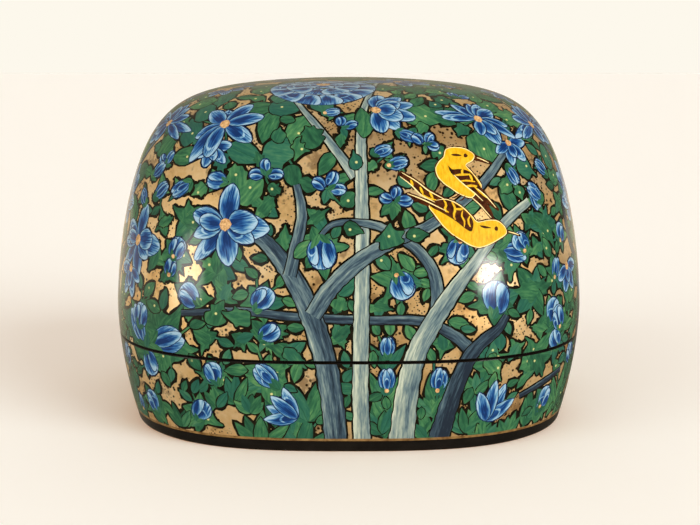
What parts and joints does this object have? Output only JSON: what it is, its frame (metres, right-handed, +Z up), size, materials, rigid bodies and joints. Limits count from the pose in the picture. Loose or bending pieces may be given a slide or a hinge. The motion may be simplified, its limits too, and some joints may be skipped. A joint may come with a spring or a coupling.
{
  "type": "lidded papier-mache box",
  "caption": "Square cushion-shaped papier-mache box with a domed lift-off lid over a glued-in collar, painted and varnished, black underside.",
  "frame": {"origin": "middle of the flat underside, on the surface that the box stands on", "axes": "+Z up, the way the lid lifts off; X is the width and Y the depth, with the front of the painting towards -Y"},
  "size_m": [0.1271, 0.127, 0.0906],
  "materials": {
    "painted_lacquer": "gloss",
    "black_lacquer": "gloss",
    "paper_pulp": "matte"
  },
  "bodies": {
    "base": {"base_painted_skin": "painted_lacquer", "base_underside_skin": "black_lacquer", "base_shell": "paper_pulp", "base_lining": "black_lacquer", "base_collar": "black_lacquer"},
    "lid": {"lid_painted_skin": "painted_lacquer", "lid_shell": "paper_pulp", "lid_lining": "black_lacquer"}
  },
  "joints": [
    {"name": "lid_lift", "type": "slide", "parent": "base", "child": "lid", "axis": [0, 0, 1], "range_m": [0, 0.06]}
  ]
}
